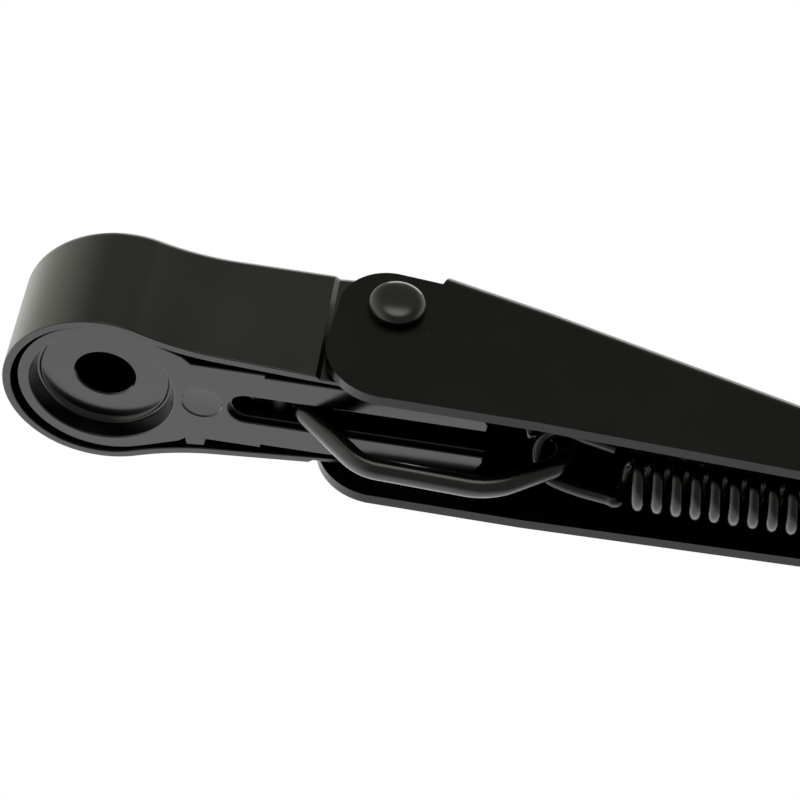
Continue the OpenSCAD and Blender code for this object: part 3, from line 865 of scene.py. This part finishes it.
def make_pivot_rivet():
    foot, rim = EAR_HALF_W, EAR_HALF_W + RIVET_RIM
    half = [(RIVET_R, foot)]
    half += [(RIVET_HEAD_R - i, foot + h) for i, h in RIVET_FOOT]
    half.append((RIVET_HEAD_R, rim))
    half += [(r, rim + h) for r, h in cushion(RIVET_HEAD_R, RIVET_DOME, RIVET_POWER, 28)]
    centre = (PIVOT[0], 0, PIVOT[1])
    piece = lathe("pivot_rivet_turned", both_ends(half), 128, ACROSS, centre)
    soften(piece, sharp=50)
    dress(piece, "arm", "rivet_paint", "pivot_rivet")


def make_spring_pin():
    r, w = SPRING_PIN_R, half_width(SPRING_PIN[0] - SPRING_PIN_R - PEEN)
    half = [(r, w), (r + PEEN, w), (r + PEEN * 0.8, w + PEEN_FOOT), (r, w + PEEN * 0.85),
            (r * 0.5, w + PEEN), (0, w + PEEN)]
    centre = (SPRING_PIN[0], 0, SPRING_PIN[1])
    piece = lathe("spring_pin_peened", both_ends(half), 64, ACROSS, centre)
    soften(piece, sharp=50)
    dress(piece, "arm", "rivet_paint", "spring_pin")


def make_bar_rivet(name, x):
    head, rim = BAR_RIVET_HEAD_R, SHEET + BAR_RIVET_RIM
    profile = [(0, -BAR_T - UPSET_END[0][1])]
    profile += [(head - i, -BAR_T - h) for i, h in UPSET_END]
    profile += [(BAR_RIVET_R, -BAR_T), (BAR_RIVET_R, SHEET), (head - BAR_RIVET_EDGE, SHEET),
                (head, SHEET + BAR_RIVET_EDGE), (head, rim)]
    profile += [(r, rim + h) for r, h in dome(head, BAR_RIVET_DOME, 12)]
    piece = lathe(name + "_turned", profile, 72, TAIL_TURN, tail_point(x, 0))
    soften(piece, sharp=50)
    dress(piece, "arm", "rivet_paint", name)


def make_nut_cover():
    seat = -COVER_TOP + NUT_FIT
    profile = [(0, NUT_FOOT[0][1])]
    profile += [(NUT_SKIRT_R - i, z) for i, z in NUT_FOOT]
    profile += [(NUT_SKIRT_R, seat), (NUT_PLUG_R, seat), (NUT_PLUG_R, 0)]
    edge = [(NUT_RIM_R - i, z) for i, z in NUT_EDGE]
    top_r, top = edge[-1]
    profile += edge + [(r, top + h) for r, h in dome(top_r, NUT_DOME, 14)]
    piece = lathe("nut_cover_moulded", profile, 128, TOP_TURN, TOP_CENTRE)
    soften(piece, sharp=40)
    dress(piece, "head", "black_plastic", "nut_cover")


# Flat bar with its hook
def bar_outline():
    """Side view of the bar, from the web's underside down."""
    centre = (BAR_LEN, -BAR_T - HOOK_R)
    tip_x, tip_z = BAR_LEN - HOOK_TIP, centre[1] - HOOK_R
    return (
        [Vector((0, -BAR_T)), Vector((BAR_LEN, -BAR_T))]
        + arc(centre, HOOK_R, 90, -90, 28)[1:]
        + [Vector((tip_x, tip_z)), Vector((tip_x, tip_z - BAR_T * HOOK_TIP_FLAT)),
           Vector((tip_x + HOOK_BEVEL, tip_z - BAR_T))]
        + arc(centre, HOOK_R + BAR_T, -90, 90, 40)
        + [Vector((0, 0))]
    )


def make_bar():
    rings = []
    for y in (-BAR_W / 2, BAR_W / 2):
        rings.append([tuple(tail_point(p.x, p.y, y)) for p in bar_outline()])
    piece = loft("bar_bent", rings)
    cut_rivet_holes(piece, -BAR_T - OVER, OVER)
    soften(piece, BAR_EDGE_R, 3, 40)
    dress(piece, "arm", "bar_paint", "arm_bar")


# Rounded end of a wire, as (depth, radius) in shares of the wire's radius
WIRE_END = ((0.35, 0.62), (0.3, 0.8), (0.2, 0.92), (0.0, 1.0))


def wire_rings(points, sides, first_side):
    """(point, direction, circle) along a path, with the circle turned as little as possible."""
    side = Vector(first_side)
    last = len(points) - 1
    rings = []
    for k, p in enumerate(points):
        ahead = (points[min(k + 1, last)] - points[max(k - 1, 0)]).normalized()
        side = (side - ahead * side.dot(ahead)).normalized()
        up = ahead.cross(side)
        circle = []
        for s in range(sides):
            a = 2 * math.pi * s / sides
            circle.append(side * math.cos(a) + up * math.sin(a))
        rings.append((p, ahead, circle))
    return rings


def wire_end(ring, r, way):
    """Rings of a rounded end, from its face to the wire's full radius."""
    p, ahead, circle = ring
    return [[tuple(p + ahead * (way * depth * r) + q * (r * share)) for q in circle]
            for depth, share in WIRE_END]


def sweep(name, path, r, sides, first_side):
    """A round wire along a path."""
    rings = wire_rings([Vector(p) for p in path], sides, first_side)
    body = [[tuple(p + q * r) for q in circle] for p, _, circle in rings[1:-1]]
    far_end = list(reversed(wire_end(rings[-1], r, 1)))
    piece = loft(name, wire_end(rings[0], r, -1) + body + far_end)
    piece.data.shade_smooth()
    return piece


# Hook link
def link_path():
    start = Vector(ANCHOR) + Vector((ANCHOR_HOOK_R, 0))
    first = start - Vector((0, ANCHOR_LEG))
    rise = Vector(LOOP) + polar(LOOP_HOOK_R, LINK_RISE - 90)
    second = meet(first, LINK_FALL, LINK_LOW, LINK_LOW_FALL)
    third = meet(LINK_LOW, LINK_LOW_FALL, rise, LINK_RISE)
    return (
        arc(ANCHOR, ANCHOR_HOOK_R, ANCHOR_HOOK_END, 0, 40)
        + bend(start, first, second, LINK_BENDS[0], 14)
        + bend(first, second, third, LINK_BENDS[1], 16)
        + bend(second, third, rise, LINK_BENDS[2], 16)
        + arc(LOOP, LOOP_HOOK_R, LINK_RISE - 90, LINK_HOOK_END, 40)
    )


def make_link():
    piece = sweep("link_wire", [(p.x, 0, p.y) for p in link_path()], LINK_R, 32, (0, 1, 0))
    dress(piece, "link", "link_wire", "hook_link")


# Tension spring
def coil_axis(x):
    start = LOOP[0] + LOOP_LEN
    return -COIL_DROP + (SPRING_PIN[1] + COIL_DROP) * (x - start) / (SPRING_PIN[0] - start)


def loop_point(along, side):
    """A point in the front loop's tilted plane."""
    z = LOOP[1] + (-COIL_DROP - LOOP[1]) * along / LOOP_LEN
    return Vector((LOOP[0] + along, side * math.cos(LOOP_TILT), z - side * math.sin(LOOP_TILT)))


def coil_point(turn, dx=0.0):
    x = LOOP[0] + LOOP_LEN + turn * COIL_PITCH
    a = 2 * math.pi * turn - LOOP_TILT
    return Vector((x + dx, COIL_R * math.cos(a), coil_axis(x) + COIL_R * math.sin(a)))


def front_loop():
    """Half turn round the link's hook, from one side of the coil to the other."""
    middle = LOOP_LEN * 0.5
    points = [loop_point(LOOP_LEN - LOOP_MERGE, -LOOP_HALF_W), loop_point(middle, -LOOP_HALF_W)]
    for k in range(1, 12):
        a = math.radians(90 + 15 * k)
        points.append(loop_point(LOOP_HALF_W * (1 + math.cos(a)), -LOOP_HALF_W * math.sin(a)))
    return points + [loop_point(middle, LOOP_HALF_W), loop_point(LOOP_LEN * 0.85, COIL_R + 0.1),
                     coil_point(0, -LOOP_LEAD)]


def far_loop():
    r = SPRING_PIN_R + SPRING_R + FAR_LOOP_FIT
    steps = 14
    points = []
    for k in range(steps + 1):
        a = math.radians(FAR_LOOP_START - FAR_LOOP_TURN * k / steps)
        points.append(Vector((SPRING_PIN[0] + r * math.cos(a), 0,
                              SPRING_PIN[1] + r * math.sin(a))))
    return points


def spring_path():
    coil = [coil_point(k / 12) for k in range(1, round(COIL_TURNS * 12) + 1)]
    exit_way = [coil[-1] + Vector(step) for step in COIL_EXIT]
    return smooth_path(front_loop() + coil + exit_way + far_loop(), 4)


def smooth_path(points, parts):
    """A finer path through the same points."""
    fine = []
    last = len(points) - 1
    for k in range(last):
        a, b = points[max(k - 1, 0)], points[k]
        c, d = points[k + 1], points[min(k + 2, last)]
        for s in range(parts):
            t = s / parts
            fine.append(0.5 * (2 * b + (c - a) * t + (2 * a - 5 * b + 4 * c - d) * t * t
                               + (3 * b - a - 3 * c + d) * t ** 3))
    return fine + [points[-1]]


def make_spring():
    piece = sweep("spring_coil", spring_path(), SPRING_R, 20, (0, 0, 1))
    dress(piece, "spring", "spring_wire", "tension_spring")


# Studio, with its sizes in metres
FLOOR_HALF = 40.0
FLOOR_Z = -1.6
WHITE = (1, 1, 1)
TINTED_WHITE = (0.99, 1.0, 0.87)
FAR_BELOW = (-0.15, 0.85, -0.5)
# Lobes of light: the way to the middle, the cosines of the angle from it where the lobe
# starts and where it is full, and the strength outside and inside
LOBES = (
    (FAR_BELOW, 0.3, 0.93, 0.0, 1.6),
    ((-1, 0, 0), 0.2, 1.0, 0.0, 1.28),
    ((0.8, 0.25, 0.45), 0.45, 1.0, 0.34, 1.6),
    ((0.0, -0.96, 0.2), 0.93, 0.99, 0.0, 2.6),
    ((-0.3, 0.6, 0.75), 0.7, 1.0, 0.0, 0.6),
)


def make_floor():
    mesh = bpy.data.meshes.new("floor")
    corners = [(-1, -1), (1, -1), (1, 1), (-1, 1)]
    mesh.from_pydata([(x * FLOOR_HALF, y * FLOOR_HALF, FLOOR_Z) for x, y in corners], [],
                     [(0, 1, 2, 3)])
    floor = add_to_scene("floor", mesh)
    m = Material("floor")
    m.set(Base_Color=m.mix(m.noise(2.0), (0.86, 0.86, 0.86), (0.9, 0.9, 0.9)), Roughness=0.9,
          Emission_Color=(*WHITE, 1), Emission_Strength=0.4)
    mesh.materials.append(m.material)
    # The enamel mirrors the studio's light, not the floor
    floor.visible_glossy = False
    floor.visible_diffuse = False


def lobe(sky, way, axis, start, end, low, high):
    dot = sky.tree.nodes.new("ShaderNodeVectorMath")
    dot.operation = "DOT_PRODUCT"
    sky.put(way, dot.inputs[0])
    sky.put(Vector(axis).normalized(), dot.inputs[1])
    return sky.ramp(dot.outputs["Value"], start, end, low, high, "SMOOTHSTEP")


def make_world():
    """A studio that is plain white to the camera and lights the arm in lobes."""
    world = bpy.data.worlds.new("studio")
    world.use_nodes = True
    bpy.context.scene.world = world
    world.node_tree.nodes.clear()
    sky = Tree(world.node_tree)
    way = sky.add("ShaderNodeTexCoord").outputs["Generated"]
    light = 0.0
    for shape in LOBES:
        light = sky.maths("ADD", light, lobe(sky, way, *shape))
    seen = sky.add("ShaderNodeLightPath").outputs["Is Camera Ray"]
    tint = sky.mix(lobe(sky, way, FAR_BELOW, -0.2, 0.6, 0.0, 1.0), TINTED_WHITE, WHITE)
    back = sky.add("ShaderNodeBackground", Color=sky.mix(seen, tint, WHITE),
                   Strength=sky.mix(seen, light, 1.0, "FLOAT"))
    sky.add("ShaderNodeOutputWorld", Surface=back.outputs["Background"])


def make_softbox(name, at, aim, size, power):
    light = bpy.data.lights.new(name, "AREA")
    light.shape = "RECTANGLE"
    light.size, light.size_y = size
    light.energy = power
    lamp = add_to_scene(name, light)
    lamp.location = at
    lamp.rotation_mode = "QUATERNION"
    lamp.rotation_quaternion = (Vector(aim) - Vector(at)).to_track_quat("-Z", "Y")
    lamp.visible_camera = False


make_camera()
make_cover()
make_core()
make_channel()
make_pivot_rivet()
make_spring_pin()
for rivet, offset in BAR_RIVETS.items():
    make_bar_rivet(rivet, offset)
make_nut_cover()
make_bar()
make_link()
make_spring()
# The hidden pins get near-black steel: painted shade for the hollows they sit in
for hidden_pin in ("link_pin", "pivot_bush"):
    paint(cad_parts[hidden_pin], "pin_steel")

make_floor()
make_world()
make_softbox("top_box", at=(0.2, 0.1, 1.5), aim=(0.2, 0, 0), size=(0.9, 0.6), power=4)
bpy.context.scene.view_settings.view_transform = "Standard"
